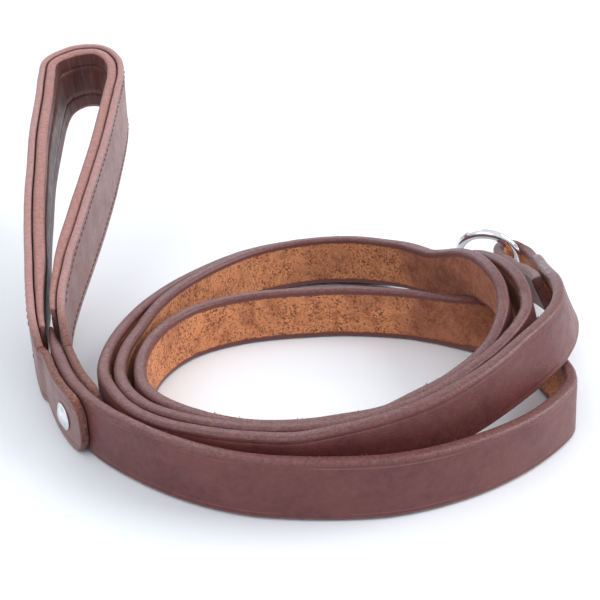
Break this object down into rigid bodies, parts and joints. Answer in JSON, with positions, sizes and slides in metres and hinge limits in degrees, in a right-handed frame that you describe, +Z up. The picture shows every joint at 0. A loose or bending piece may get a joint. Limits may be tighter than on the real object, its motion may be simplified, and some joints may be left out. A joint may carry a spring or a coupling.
{
  "type": "dog training leash",
  "caption": "Coiled leather training leash with a padded, riveted hand loop and a steel ring held in a slotted fold at the other end.",
  "frame": {"origin": "on the floor under the middle of the whole leash's bounding box", "axes": "+Z up, +Y away from the viewer towards the raised end of the hand loop, +X to the right towards the ring"},
  "size_m": [0.2191, 0.2405, 0.085],
  "materials": {
    "strap_leather": "smooth waxed grain outside, raw suede inside",
    "handle_leather": "smooth waxed grain",
    "lining_leather": "soft, wrinkled",
    "thread": "waxed thread",
    "rivet_steel": "polished",
    "ring_steel": "polished"
  },
  "bodies": {
    "leash": {"lead_strap": "strap_leather", "handle_strap": "handle_leather", "handle_lining": "lining_leather", "stitches_upper": "thread", "stitches_lower": "thread", "rivet_cap": "rivet_steel", "rivet_base": "rivet_steel"},
    "ring": {"ring": "ring_steel"}
  },
  "joints": [
    {"name": "ring_swing", "type": "hinge", "parent": "leash", "child": "ring", "pos_m": [0.09738, 0.0302, 0.0133], "axis": [0.1281, 0.352, -0.9272], "range_deg": [-30, 50]}
  ]
}
